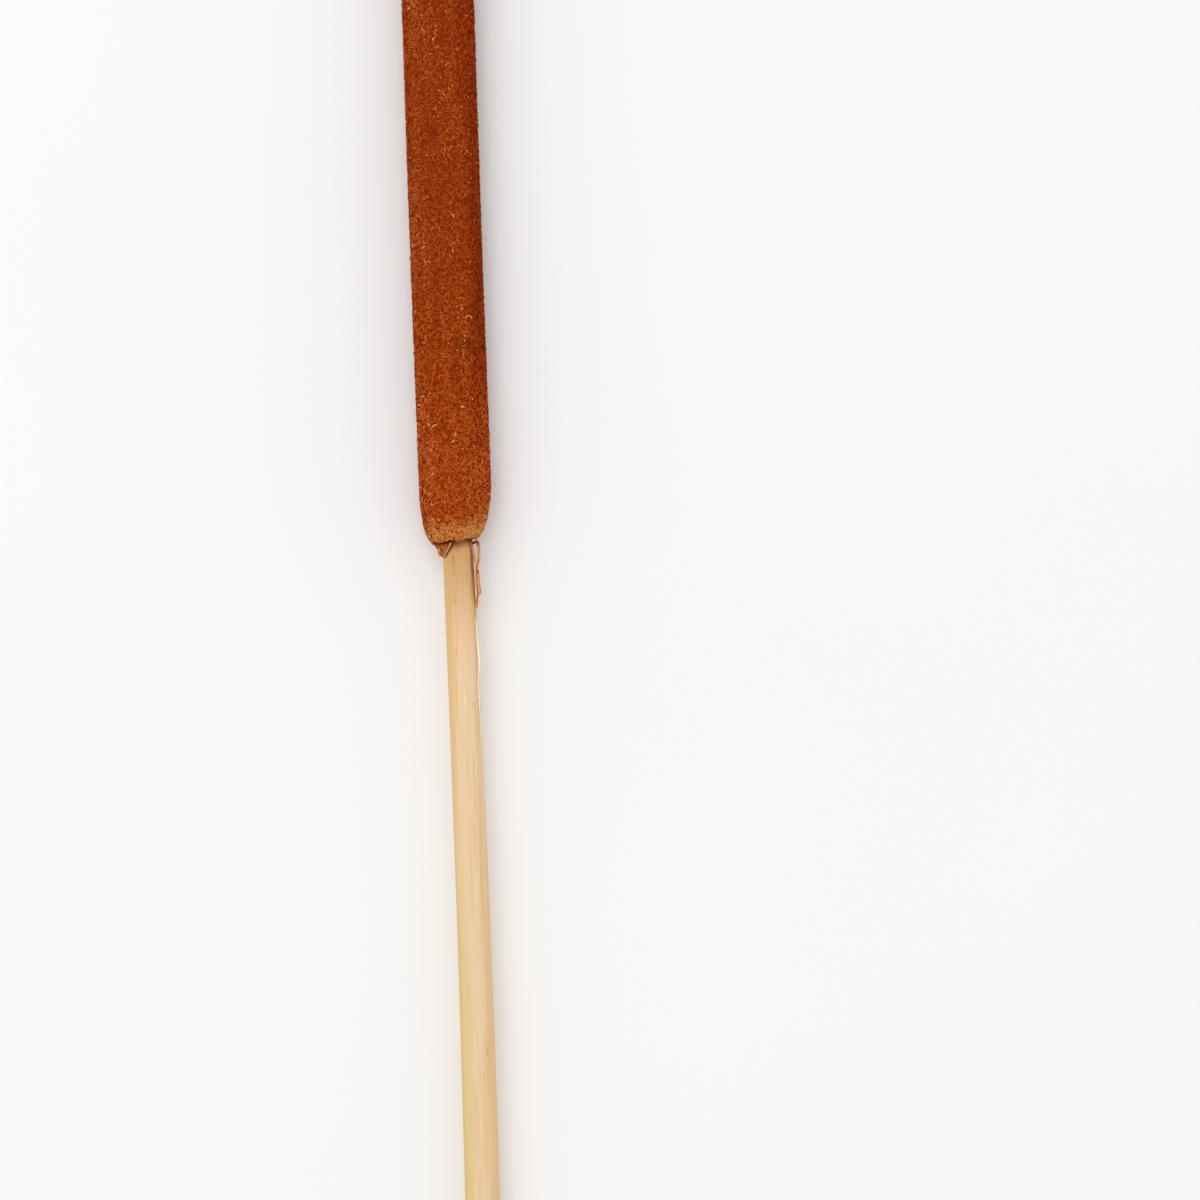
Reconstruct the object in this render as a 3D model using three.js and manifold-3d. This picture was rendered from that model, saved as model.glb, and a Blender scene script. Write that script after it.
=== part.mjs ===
// A cut, dried cattail stalk lying on its side: a long brown seed head on a bare round stem, the thin
// spike that is left above the head, and two torn scraps of bract at the head's base.
// Millimetres, +Z up. The stalk lies along Y, with its tip towards +Y, on the plane z = 0.
// Angles round the stalk are counted from +X towards +Z.

import * as THREE from 'three';
import Module from 'manifold-3d';

const wasm = await Module();
wasm.setup();

// Lengths along the stalk
const stemLength = 410;
const headLength = 240;
const spikeLength = 50;

// Radii
const headRadius = 9.15;
const headRimRadius = 4.9;
const headCrownRadius = 2.6;
const stemNeckRadius = 3.68;
const stemCutRadius = 5;
const stemSwell = 0.72;
const spikeFootRadius = 1.7;
const spikeTipRadius = 0.4;

// Rounded ends of the head
const shoulderLength = 15;
const crownLength = 17;
const shoulderSkew = 0.6;
const rimTilt = 0.6;

// How the stalk rests and bends
const flatDepth = 0.22;
const swayAmount = 0.3;
const swayLength = 310;
const swayStart = 42.5;
const cutSlant = 1.6;

// How the pieces sit in each other
const gap = 0.3;
const stemSeat = 12;
const spikeSeat = 9;

// Paper-thin scraps of bract
const scrapThickness = 0.35;
const flapDrop = 3.75;
const scrapRootDepth = 2;
const scrapClearRadius = stemNeckRadius + 0.55;

// Fineness of the rings
const headSides = 36;
const stemSides = 16;
const spikeSides = 10;
const headRingSpacing = 5;
const endRings = 9;
const stemRings = 46;
const spikeRings = 14;

// Places along Y, with the middle of the whole stalk at 0
const totalLength = stemLength + headLength + spikeLength;
const cutY = -totalLength / 2;
const baseY = cutY + stemLength;
const crownY = baseY + headLength;
const tipY = crownY + spikeLength;

const headAxisHeight = headRadius - flatDepth;
const cutAxisHeight = stemRadiusAt(cutY, -Math.PI / 2);

function mix(from, to, share) {
  return from + (to - from) * share;
}

function clamp01(value) {
  return Math.min(Math.max(value, 0), 1);
}

function evenSteps(from, to, count) {
  return Array.from({ length: count }, (_, step) => mix(from, to, step / (count - 1)));
}

// The centre line: a slight sway to the sides, and a sag from the head down to the cut end
function axisX(y) {
  return -swayAmount * Math.sin((2 * Math.PI * (y - swayStart)) / swayLength);
}

function axisZ(y) {
  const along = clamp01((baseY - y) / stemLength);
  const sag = (along * along * (3 - along)) / 2;
  return mix(headAxisHeight, cutAxisHeight, sag);
}

function aroundAxis(y, radius, angle) {
  return new THREE.Vector3(
    axisX(y) + radius * Math.cos(angle),
    y,
    axisZ(y) + radius * Math.sin(angle),
  );
}

// A closed skin through rings of points, with a fan over each end. The first ring is the lowest in Y.
function loft(stations, sides, pointAt) {
  const points = [];
  const faces = [];
  const addEnd = (ring) => {
    const centre = new THREE.Vector3();
    for (let side = 0; side < sides; side += 1) {
      centre.addScaledVector(points[ring * sides + side], 1 / sides);
    }
    return centre;
  };
  for (const station of stations) {
    for (let side = 0; side < sides; side += 1) {
      points.push(pointAt(station, (2 * Math.PI * side) / sides));
    }
  }
  const lastRing = stations.length - 1;
  const lowCentre = points.length;
  points.push(addEnd(0), addEnd(lastRing));
  for (let side = 0; side < sides; side += 1) {
    const next = (side + 1) % sides;
    for (let ring = 0; ring < lastRing; ring += 1) {
      const here = ring * sides;
      const above = here + sides;
      faces.push(here + side, above + side, here + next);
      faces.push(here + next, above + side, above + next);
    }
    faces.push(lowCentre, side, next);
    faces.push(lowCentre + 1, lastRing * sides + next, lastRing * sides + side);
  }
  return closedGeometry(points, faces);
}

// A thin sheet over a grid of points, thickened to both sides. Rows run down in Y, columns round the stem
// from +X to -X, and the outer face looks away from the stem.
function sheet(acrossSteps, downSteps, thickness, pointAt) {
  const columns = acrossSteps.length;
  const rows = downSteps.length;
  const skin = columns * rows;
  const points = [];
  const nudge = 0.01;
  for (const side of [0.5, -0.5]) {
    for (const down of downSteps) {
      for (const across of acrossSteps) {
        const point = pointAt(across, down);
        const alongAcross = pointAt(across + nudge, down).sub(point);
        const alongDown = pointAt(across, down + nudge).sub(point);
        const outward = alongAcross.cross(alongDown).normalize();
        points.push(point.addScaledVector(outward, side * thickness));
      }
    }
  }
  const faces = [];
  const addQuad = (a, b, c, d) => faces.push(a, b, c, a, c, d);
  for (let row = 0; row < rows - 1; row += 1) {
    for (let column = 0; column < columns - 1; column += 1) {
      const outer = row * columns + column;
      const inner = outer + skin;
      addQuad(outer, outer + 1, outer + 1 + columns, outer + columns);
      addQuad(inner, inner + columns, inner + 1 + columns, inner + 1);
    }
  }
  for (let row = 0; row < rows - 1; row += 1) {
    const first = row * columns;
    const last = first + columns - 1;
    addQuad(first, first + columns, first + columns + skin, first + skin);
    addQuad(last, last + skin, last + skin + columns, last + columns);
  }
  for (let column = 0; column < columns - 1; column += 1) {
    const low = (rows - 1) * columns + column;
    addQuad(column, column + skin, column + 1 + skin, column + 1);
    addQuad(low, low + 1, low + 1 + skin, low + skin);
  }
  return closedGeometry(points, faces);
}

function closedGeometry(points, faces) {
  const geometry = new THREE.BufferGeometry();
  geometry.setFromPoints(points);
  geometry.setIndex(faces);
  geometry.computeVertexNormals();
  return geometry;
}

function solidOf(geometry) {
  const mesh = new wasm.Mesh({
    numProp: 3,
    vertProperties: geometry.attributes.position.array,
    triVerts: new Uint32Array(geometry.index.array),
  });
  return new wasm.Manifold(mesh);
}

function geometryOf(solid) {
  const mesh = solid.getMesh();
  const geometry = new THREE.BufferGeometry();
  geometry.setAttribute('position', new THREE.BufferAttribute(mesh.vertProperties, 3));
  geometry.setIndex(new THREE.BufferAttribute(mesh.triVerts, 1));
  geometry.computeVertexNormals();
  return geometry;
}

// Stem: nearly round, a little oval, with soft flats that run lengthwise and turn slowly
function stemRadiusAt(y, angle) {
  const below = clamp01((baseY - y) / stemLength);
  const radius = mix(stemNeckRadius, stemCutRadius, Math.pow(below, stemSwell));
  const turned = angle + y / 400;
  const oval = 0.02 * Math.cos(2 * turned - 0.9);
  const flats = 0.016 * Math.cos(5 * turned + 0.8) + 0.008 * Math.cos(7 * turned);
  return radius * (1 + oval + flats);
}

// Only the cut end slants: its upper edge is set back from its lower one
function stemPoint(y, angle, room) {
  const setBack = y === cutY ? (cutSlant * (1 + Math.sin(angle))) / 2 : 0;
  return aroundAxis(y + setBack, stemRadiusAt(y, angle) + room, angle);
}

function stemGeometry() {
  const stations = evenSteps(cutY, baseY + stemSeat, stemRings);
  return loft(stations, stemSides, (y, angle) => stemPoint(y, angle, 0));
}

function stemRoom() {
  const stations = evenSteps(baseY - stemSeat, baseY + stemSeat + gap, 4);
  return solidOf(loft(stations, stemSides, (y, angle) => stemPoint(y, angle, gap)));
}

// Seed head: a long felt-like cylinder with rounded ends, soft lengthwise swellings and an uneven rim
function headSwelling(y, angle) {
  const broad = 0.12 * Math.sin(2 * angle + y / 38 + 1.1) + 0.08 * Math.sin(y / 21 + 0.7);
  const narrow = 0.08 * Math.sin(3 * angle - y / 27) + 0.07 * Math.sin(5 * angle + y / 61 + 2);
  const awayFromFloor = (1 + Math.sin(angle)) / 2;
  return (broad + narrow) * awayFromFloor;
}

function rimShift(angle) {
  return rimTilt * Math.cos(angle) + 0.3 * Math.sin(3 * angle + 0.5) + 0.2 * Math.sin(7 * angle);
}

function quarterRound(share) {
  return Math.sqrt(1 - (1 - share) * (1 - share));
}

function headPoint(y, angle) {
  const fromBase = clamp01((y - baseY) / shoulderLength);
  const fromCrown = clamp01((crownY - y) / crownLength);
  const full = headRadius + headSwelling(y, angle);
  const shoulder = mix(headRimRadius, full, quarterRound(fromBase));
  const skewed = shoulder - shoulderSkew * (1 - fromBase) * Math.cos(angle);
  const radius = mix(headCrownRadius, skewed, quarterRound(fromCrown));
  const point = aroundAxis(y + rimShift(angle) * (1 - fromBase), radius, angle);
  point.z = Math.max(point.z, 0);
  return point;
}

function headStations() {
  const bodyRings = Math.round((headLength - shoulderLength - crownLength) / headRingSpacing);
  const quarters = evenSteps(0, Math.PI / 2, endRings);
  const base = quarters.map((turn) => baseY + shoulderLength * (1 - Math.cos(turn)));
  const body = evenSteps(baseY + shoulderLength, crownY - crownLength, bodyRings).slice(1, -1);
  const crown = quarters.map((turn) => crownY - crownLength * (1 - Math.sin(turn)));
  return [...base, ...body, ...crown];
}

// The stem, the spike and the scraps of bract each get their own room in the head
function headGeometry() {
  const rooms = [stemRoom(), spikeRoom(), flapRoom(), shredRoom()];
  let head = solidOf(loft(headStations(), headSides, headPoint));
  for (const room of rooms) {
    head = head.subtract(room);
  }
  return geometryOf(head);
}

// Top spike: the bare, slightly bent axis that is left when the male flowers have dropped
function spikePoint(y, angle, room) {
  const along = clamp01((y - crownY) / spikeLength);
  const narrowing = mix(spikeFootRadius, spikeTipRadius, Math.pow(along, 1.4));
  const knobs = 0.1 * Math.sin(y / 1.9) * Math.sin(3 * angle + y / 5) * (1 - along);
  const point = aroundAxis(y, narrowing + knobs + room, angle);
  point.x += 1.4 * along * along;
  point.z += 1.1 * along * along;
  return point;
}

function spikeGeometry() {
  const stations = evenSteps(crownY - spikeSeat, tipY, spikeRings);
  return loft(stations, spikeSides, (y, angle) => spikePoint(y, angle, 0));
}

function spikeRoom() {
  const stations = evenSteps(crownY - spikeSeat - gap, crownY + spikeSeat, 5);
  return solidOf(loft(stations, spikeSides, (y, angle) => spikePoint(y, angle, gap + 0.1)));
}

// Bract flap: a folded papery triangle that hangs from under the rim over the stem's -X side.
// Across runs from the stem's crest (0) to the outer corner (1), down from the root (0) to the tip (1).
const flap = {
  crestX: -1,
  cornerX: -6.84,
  rootX: -6,
  tipX: -4.02,
  tipHalfWidth: 0.22,
  crestDown: 0.38,
  cornerDown: 0.15,
  edgeHeight: 0.9,
  bulge: 0.45,
};

function flapPoint(across, down) {
  const y = baseY + mix(scrapRootDepth, -flapDrop, down);
  const pastCrest = clamp01((down - flap.crestDown) / (1 - flap.crestDown));
  const pastCorner = clamp01((down - flap.cornerDown) / (1 - flap.cornerDown));
  const flare = clamp01(down / flap.cornerDown);
  const innerX = mix(flap.crestX, flap.tipX + flap.tipHalfWidth, pastCrest);
  const cornerX = mix(flap.rootX, flap.cornerX, flare);
  const outerX = mix(cornerX, flap.tipX - flap.tipHalfWidth, pastCorner);
  const innerZ = Math.sqrt(scrapClearRadius * scrapClearRadius - innerX * innerX);
  const arch = flap.bulge * Math.sin(Math.PI * clamp01(across)) * (1 - pastCorner);
  const x = axisX(y) + mix(innerX, outerX, across);
  const z = axisZ(y) + mix(innerZ, flap.edgeHeight, across) + arch;
  return new THREE.Vector3(x, y, z);
}

function flapGeometry() {
  return sheet(evenSteps(0, 1, 8), evenSteps(0, 1, 10), scrapThickness, flapPoint);
}

function flapRoom() {
  const margin = 0.06;
  const across = evenSteps(-margin, 1 + margin, 6);
  const down = evenSteps(-margin, 0.6, 5);
  return solidOf(sheet(across, down, scrapThickness + 2 * gap, flapPoint));
}

// Bract shred: a kinked strand peeled off along the stem's +X side, with a second short root.
// Its points are offsets from the stem's centre line, from the free end up to the root.
const shredPath = new THREE.CatmullRomCurve3([
  new THREE.Vector3(4.33, 43.1, -0.5),
  new THREE.Vector3(4.4, 45.4, -0.1),
  new THREE.Vector3(4.85, 47.8, 0.3),
  new THREE.Vector3(4.6, 51, 0.5),
  new THREE.Vector3(4.6, 53.8, 0.7),
  new THREE.Vector3(5.15, 57.2, 1),
  new THREE.Vector3(4.95, 59.6, 1.2),
  new THREE.Vector3(4.6, baseY + scrapRootDepth, 1.3),
]);
const shredBranchPath = new THREE.CatmullRomCurve3([
  new THREE.Vector3(4.7, 54.4, 0.8),
  new THREE.Vector3(4.35, 56, 1.4),
  new THREE.Vector3(3.6, 58.8, 2.5),
  new THREE.Vector3(3.1, baseY + scrapRootDepth, 3),
]);
const shredRootWidth = 0.9;
const shredEndWidth = 0.45;

function strand(path, from, to, rings, room) {
  const pointAt = (along, angle) => {
    const offset = path.getPoint(along);
    const width = mix(shredEndWidth, shredRootWidth, along) + 2 * room;
    const height = scrapThickness + 2 * room;
    const corner = angle + Math.PI / 4;
    offset.y += along === 1 ? room : 0;
    offset.x += axisX(offset.y) + Math.sign(Math.cos(corner)) * width / 2;
    offset.z += axisZ(offset.y) + Math.sign(Math.sin(corner)) * height / 2;
    return offset;
  };
  return solidOf(loft(evenSteps(from, to, rings), 4, pointAt));
}

function shredGeometry() {
  const main = strand(shredPath, 0, 1, 22, 0);
  const branch = strand(shredBranchPath, 0, 1, 9, 0);
  return geometryOf(main.add(branch));
}

function shredRoom() {
  const main = strand(shredPath, 0.75, 1, 5, gap);
  const branch = strand(shredBranchPath, 0.5, 1, 5, gap);
  return main.add(branch);
}

function addPiece(group, name, geometry, color, roughness) {
  const material = new THREE.MeshStandardMaterial({ color, roughness, metalness: 0 });
  const piece = new THREE.Mesh(geometry, material);
  piece.name = name;
  group.add(piece);
}

const stalk = new THREE.Group();
addPiece(stalk, 'stem', stemGeometry(), 0xe2c48c, 0.6);
addPiece(stalk, 'seed_head', headGeometry(), 0xa4501f, 0.95);
addPiece(stalk, 'top_spike', spikeGeometry(), 0x8b6a43, 0.8);
addPiece(stalk, 'bract_flap', flapGeometry(), 0xb97a4c, 0.75);
addPiece(stalk, 'bract_shred', shredGeometry(), 0xd9a679, 0.7);

export default stalk;
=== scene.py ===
"""A cut, dried cattail stalk that lies on a pale floor, seen from straight above.

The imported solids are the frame. Each of them is replaced by a finer piece of the same form: the stem with
its streaks and scars, the seed head's skin under a felt of fibres, the top spike and the torn scraps of
bract. Lengths are in metres and angles in radians. The stalk lies along Y with its tip towards +Y, and
angles round it are counted from +X towards +Z.
"""

import math
from typing import NamedTuple

import bpy
import numpy as np
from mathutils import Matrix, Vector


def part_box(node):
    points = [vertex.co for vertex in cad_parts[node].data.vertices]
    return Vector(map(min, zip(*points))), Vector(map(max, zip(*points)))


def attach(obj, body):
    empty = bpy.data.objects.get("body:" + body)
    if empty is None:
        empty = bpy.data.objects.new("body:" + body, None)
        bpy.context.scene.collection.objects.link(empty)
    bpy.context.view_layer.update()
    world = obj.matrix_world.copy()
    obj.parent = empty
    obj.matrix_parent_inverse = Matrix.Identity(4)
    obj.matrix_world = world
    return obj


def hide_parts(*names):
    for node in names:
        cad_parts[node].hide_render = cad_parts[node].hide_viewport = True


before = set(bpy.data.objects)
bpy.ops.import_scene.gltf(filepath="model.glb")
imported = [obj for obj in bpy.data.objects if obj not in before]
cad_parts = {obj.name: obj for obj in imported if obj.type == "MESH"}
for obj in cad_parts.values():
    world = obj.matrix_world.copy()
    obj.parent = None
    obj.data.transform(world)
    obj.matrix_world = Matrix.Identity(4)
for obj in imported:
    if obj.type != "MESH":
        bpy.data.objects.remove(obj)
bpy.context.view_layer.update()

bl_info = {
    "name": "Cattail Stalk",
    "version": (1, 0, 0),
    "blender": (4, 5, 0),
    "location": "View3D > Sidebar > Cattail",
    "description": "Dresses a dried cattail stalk over its solids",
    "category": "Object",
}

MM = 0.001
BODY = "root"

# Where the pieces are, from the frame
STEM_LOW, STEM_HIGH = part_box("stem")
SPIKE_LOW, SPIKE_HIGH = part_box("top_spike")
STEM_SEAT = 12 * MM
SPIKE_SEAT = 9 * MM
CUT_Y = STEM_LOW.y
BASE_Y = STEM_HIGH.y - STEM_SEAT
CROWN_Y = SPIKE_LOW.y + SPIKE_SEAT
TIP_Y = SPIKE_HIGH.y
STEM_LENGTH = BASE_Y - CUT_Y

# The photograph's frame, the pixel of the head's base on the stem's centre line, and how the stalk leans
PHOTO_PIXELS = 1200
PHOTO_SPAN = 300 * MM
BASE_PIXEL = (458, 541)
PHOTO_LEAN = math.radians(2.11)
CAMERA_HEIGHT = 1.2


def srgb(red, green, blue):
    """A colour given as the usual 0 to 255 values, as Blender's linear values."""
    linear = []
    for value in (red, green, blue):
        share = value / 255
        linear.append(share / 12.92 if share <= 0.04045 else ((share + 0.055) / 1.055) ** 2.4)
    return tuple(linear)


def from_photo(pixel_x, pixel_y, lift=0.0):
    """The x and y of what the photograph shows at that pixel, at a height of lift over the head's axis."""
    scale = PHOTO_SPAN / PHOTO_PIXELS
    nearer = 1 - lift / CAMERA_HEIGHT
    middle = PHOTO_PIXELS / 2
    right = (mix(middle, pixel_x, nearer) - BASE_PIXEL[0]) * scale
    up = (BASE_PIXEL[1] - mix(middle, pixel_y, nearer)) * scale
    x = right * math.cos(PHOTO_LEAN) + up * math.sin(PHOTO_LEAN)
    y = BASE_Y + up * math.cos(PHOTO_LEAN) - right * math.sin(PHOTO_LEAN)
    return x, y


def on_top(pixel, top):
    """What the photograph shows at that pixel, as a point on an upper side whose height is top(x, y)."""
    lift = float(top(*from_photo(*pixel))) - HEAD_AXIS_HEIGHT
    x, y = from_photo(*pixel, lift)
    return x, y, float(top(x, y))


# Settings


def length(name, description, default):
    """A property that holds a length."""
    return bpy.props.FloatProperty(
        name=name, description=description, default=default, min=0, unit="LENGTH", precision=5
    )


def colour(name, description, default):
    """A property that holds a colour."""
    return bpy.props.FloatVectorProperty(
        name=name, description=description, default=default, size=3, min=0, max=1, subtype="COLOR"
    )


class CattailSizes(bpy.types.PropertyGroup):
    """Sizes of the stalk's pieces."""

    head_radius: length("Head radius", "Radius of the seed head at its fibres' tips", 9.15 * MM)
    rim_radius: length("Rim radius", "Radius of the head's lower rim", 4.9 * MM)
    crown_radius: length("Crown radius", "Radius of the head where the spike leaves it", 2.6 * MM)
    shoulder: length("Shoulder", "Length of the head's rounded base", 15 * MM)
    crown: length("Crown", "Length of the head's rounded top", 17 * MM)
    neck_radius: length("Neck radius", "Radius of the stem where it enters the head", 3.68 * MM)
    cut_radius: length("Cut radius", "Radius of the stem at its cut end", 5 * MM)
    spike_foot: length("Spike foot", "Radius of the spike where it leaves the head", 1.7 * MM)
    spike_tip: length("Spike tip", "Radius of the spike at its tip", 0.4 * MM)


class CattailFelt(bpy.types.PropertyGroup):
    """The felt of fibres on the seed head."""

    depth: length("Depth", "Depth of the felt over the head's skin", 0.5 * MM)
    curl_length: length("Curl length", "Usual length of a curl on the upper head", 0.85 * MM)
    curl_width: length("Curl width", "Usual width of a curl", 0.22 * MM)
    ground_density: bpy.props.FloatProperty(
        name="Ground density", description="Fine fibres per square millimetre", default=4.5, min=1, max=6
    )
    curl_density: bpy.props.FloatProperty(
        name="Curl density", description="Curls per square millimetre", default=4.5, min=0.5, max=5
    )
    seed: bpy.props.IntProperty(name="Seed", description="Seed of all random draws", default=11)


class CattailColours(bpy.types.PropertyGroup):
    """Colours of the stalk's finishes."""

    # The deepest felt colour is painted shade between the fibres, and the skin under them is painted in it
    felt_pit_shade: colour("Felt pit", "Deep between the fibres", srgb(122, 40, 10))
    felt_dark: colour("Felt dark", "Darkest fibres", srgb(154, 54, 13))
    felt_mid: colour("Felt middle", "Most fibres", srgb(186, 76, 22))
    felt_light: colour("Felt light", "Lighter fibres", srgb(209, 107, 45))
    felt_fleck: colour("Felt fleck", "The few pale fibres", srgb(246, 168, 98))
    fringe: colour("Fringe", "Fine sandy fibres at the rim", srgb(208, 128, 54))
    fringe_light: colour("Fringe light", "The palest sandy grains", srgb(238, 168, 92))
    stem_cream: colour("Stem cream", "Palest streaks of the stem", srgb(233, 204, 163))
    stem_tan: colour("Stem tan", "Darker streaks of the stem", srgb(226, 188, 138))
    stem_neck: colour("Stem neck", "The stem just below the head", srgb(208, 162, 106))
    stem_green: colour("Stem green", "Faint green of the lower stem", srgb(219, 197, 133))
    stem_pink: colour("Stem pink", "Faint rosy streaks of the stem", srgb(236, 198, 164))
    stem_orange: colour("Stem orange", "Warm bands along the stem's edges", srgb(224, 180, 117))
    stem_brown: colour("Stem brown", "Scars, specks and the band at the neck", srgb(146, 68, 8))
    sliver: colour("Sliver", "The peeled sliver on the stem's right edge", srgb(253, 247, 218))
    pith: colour("Pith", "Inside of the stem at the cut", srgb(236, 222, 190))
    spike_brown: colour("Spike brown", "The bare spike", srgb(150, 108, 66))
    flap_rust: colour("Flap rust", "The papery flap", srgb(146, 70, 18))
    scrap_pale: colour("Scrap pale", "Pale rims of the scraps", srgb(253, 196, 138))
    shred_tan: colour("Shred tan", "Folds of the kinked shred", srgb(166, 92, 42))
    floor: colour("Floor", "The pale floor", srgb(246, 246, 246))


def sizes():
    """The sizes as they are set in the scene."""
    return bpy.context.scene.cattail_sizes


def felt():
    return bpy.context.scene.cattail_felt


def colours():
    return bpy.context.scene.cattail_colours


# Forms, the same as those of the solids. They take and give arrays.


def mix(low, high, share):
    return low + (high - low) * share


def clamp01(value):
    return np.clip(value, 0.0, 1.0)


def smooth01(low, high, value):
    """0 below low, 1 above high, and a smooth step between them."""
    share = clamp01((value - low) / (high - low))
    return share * share * (3 - 2 * share)


def rounded(share):
    """Height of a quarter circle at that share of its length."""
    return np.sqrt(1 - (1 - share) ** 2)


SWAY = 0.3 * MM
SWAY_LENGTH = 310 * MM
SWAY_START = 42.5 * MM
HEAD_AXIS_HEIGHT = 8.93 * MM
STEM_SWELL = 0.72
NOTCH_DEPTH = 0.45 * MM
NOTCH_ANGLE = 1.76
NOTCH_WIDTH = 0.16
NOTCH_REACH = 4 * MM


def axis_x(y):
    """Sideways place of the stalk's centre line."""
    return -SWAY * np.sin(2 * math.pi * (y - SWAY_START) / SWAY_LENGTH)


def axis_z(y):
    """Height of the stalk's centre line, which sags from the head down to the cut end."""
    along = clamp01((BASE_Y - y) / STEM_LENGTH)
    sag = along * along * (3 - along) / 2
    cut_height = stem_radius(CUT_Y, -math.pi / 2)
    return mix(HEAD_AXIS_HEIGHT, cut_height, sag)


def around_axis(y, radius, angle):
    """Points at that radius and angle round the centre line."""
    x = axis_x(y) + radius * np.cos(angle)
    z = axis_z(y) + radius * np.sin(angle)
    return np.stack([x, y + 0 * x, z], axis=-1)


def stem_radius(y, angle):
    """Radius of the stem: nearly round, a little oval, with soft flats that turn slowly."""
    below = clamp01((BASE_Y - y) / STEM_LENGTH)
    radius = mix(sizes().neck_radius, sizes().cut_radius, below**STEM_SWELL)
    turned = angle + y / (400 * MM)
    oval = 0.02 * np.cos(2 * turned - 0.9)
    flats = 0.016 * np.cos(5 * turned + 0.8) + 0.008 * np.cos(7 * turned)
    return radius * (1 + oval + flats)


def head_swelling(y, angle):
    """Soft lengthwise swellings and dents of the head, which fade out towards the floor."""
    broad = 0.12 * np.sin(2 * angle + y / (38 * MM) + 1.1) + 0.08 * np.sin(y / (21 * MM) + 0.7)
    narrow = 0.08 * np.sin(3 * angle - y / (27 * MM)) + 0.07 * np.sin(5 * angle + y / (61 * MM) + 2)
    away_from_floor = (1 + np.sin(angle)) / 2
    return (broad + narrow) * away_from_floor * MM


def rim_shift(angle):
    """How far up the head's rim is at each angle: tilted, with small lobes."""
    return (0.6 * np.cos(angle) + 0.3 * np.sin(3 * angle + 0.5) + 0.2 * np.sin(7 * angle)) * MM


def rim_notch(angle):
    """The small notch of the felt's lower edge beside the flap, which the solid leaves out."""
    return NOTCH_DEPTH * np.exp(-(((angle % (2 * math.pi)) - NOTCH_ANGLE) / NOTCH_WIDTH) ** 2)


def head_form(y, angle):
    """Radius of the head's outside, and how far its rings are shifted along it."""
    from_base = clamp01((y - BASE_Y) / sizes().shoulder)
    from_crown = clamp01((CROWN_Y - y) / sizes().crown)
    full = sizes().head_radius + head_swelling(y, angle)
    shoulder = mix(sizes().rim_radius, full, rounded(from_base))
    skewed = shoulder - 0.6 * MM * (1 - from_base) * np.cos(angle)
    radius = mix(sizes().crown_radius, skewed, rounded(from_crown))
    return radius, rim_shift(angle) * (1 - from_base)


class HeadProfile:
    """The head's outline by arc length, from inside its lower lip round to inside its upper lip."""

    LIP_RISE = 0.9 * MM
    SAMPLES = 60
    STEP_ARC = 0.2 * MM
    STEP_ANGLE = 0.02

    def __init__(self):
        turns = np.linspace(0, math.pi / 2, self.SAMPLES)
        base = BASE_Y + sizes().shoulder * (1 - np.cos(turns))
        body = np.linspace(base[-1], CROWN_Y - sizes().crown, self.SAMPLES)[1:-1]
        top = CROWN_Y - sizes().crown * (1 - np.sin(turns))
        outside = np.concatenate([base, body, top])
        lip = np.linspace(1, 0, self.SAMPLES // 6)[:-1]
        count = len(lip)
        self.y = np.pad(outside, count, constant_values=(BASE_Y, CROWN_Y))
        self.low_lip = np.pad(lip, (0, len(outside) + count))
        self.high_lip = self.low_lip[::-1]
        points = self.place(self.y, self.low_lip, self.high_lip, math.pi / 2)
        steps = np.linalg.norm(np.diff(points, axis=0), axis=1)
        self.arc = np.concatenate([[0], np.cumsum(steps)])
        self.length = self.arc[-1]
        self.rim = self.arc[count]

    def place(self, y, low_lip, high_lip, angle):
        radius, shift = head_form(y, angle)
        neck = stem_radius(y, angle) * 1.01
        foot = sizes().spike_foot * 1.02
        radius = mix(radius, neck, low_lip)
        radius = mix(radius, foot, high_lip)
        inward = self.LIP_RISE * (low_lip - high_lip)
        notch = rim_notch(angle) * smooth01(NOTCH_REACH, 0, y - BASE_Y)
        points = around_axis(y + shift + notch + inward, radius, angle)
        points[..., 2] = np.maximum(points[..., 2], 0)
        return points

    def point(self, arc, angle):
        """Points of the head's outside at that arc length and angle."""
        columns = [np.interp(arc, self.arc, column) for column in (self.y, self.low_lip, self.high_lip)]
        return self.place(*columns, angle)

    def frame(self, arc, angle):
        """Points of the outside, with the unit directions along the head, round it and outwards."""
        point = self.point(arc, angle)
        along = self.point(arc + self.STEP_ARC, angle) - self.point(arc - self.STEP_ARC, angle)
        turn = self.point(arc, angle + self.STEP_ANGLE) - self.point(arc, angle - self.STEP_ANGLE)
        along = unit(along)
        outward = unit(np.cross(along, turn))
        return point, along, np.cross(outward, along), outward

    def mean_radius(self, arc):
        return head_form(np.interp(arc, self.arc, self.y), math.pi / 2)[0]

    def spread(self, rng, density, reach):
        """Random arcs and angles, even over the head's surface and in order along it, up to reach."""
        arc = np.linspace(0, reach, 2001)
        area = np.concatenate([[0], np.cumsum(2 * math.pi * self.mean_radius(arc[:-1]) * np.diff(arc))])
        count = int(density * area[-1] / MM**2)
        root = np.sort(np.interp(rng.uniform(0, area[-1], count), area, arc))
        return root, rng.uniform(0, 2 * math.pi, count)


def unit(vectors):
    lengths = np.linalg.norm(vectors, axis=-1, keepdims=True)
    return vectors / np.maximum(lengths, 1e-12)


def through(rows, steps):
    """A smooth curve through rows of numbers, with this many steps from each row to the next."""
    rows = np.array(rows, float)
    padded = np.concatenate([[2 * rows[0] - rows[1]], rows, [2 * rows[-1] - rows[-2]]])
    share = np.linspace(0, 1, steps, endpoint=False)[:, None]
    stretches = []
    for before, start, end, after in zip(padded, padded[1:], padded[2:], padded[3:]):
        leaving = (end - before) / 2
        arriving = (after - start) / 2
        bend = 3 * (end - start) - 2 * leaving - arriving
        twist = 2 * (start - end) + leaving + arriving
        stretches.append(start + share * (leaving + share * (bend + share * twist)))
    return np.concatenate(stretches + [rows[-1:]])


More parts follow.
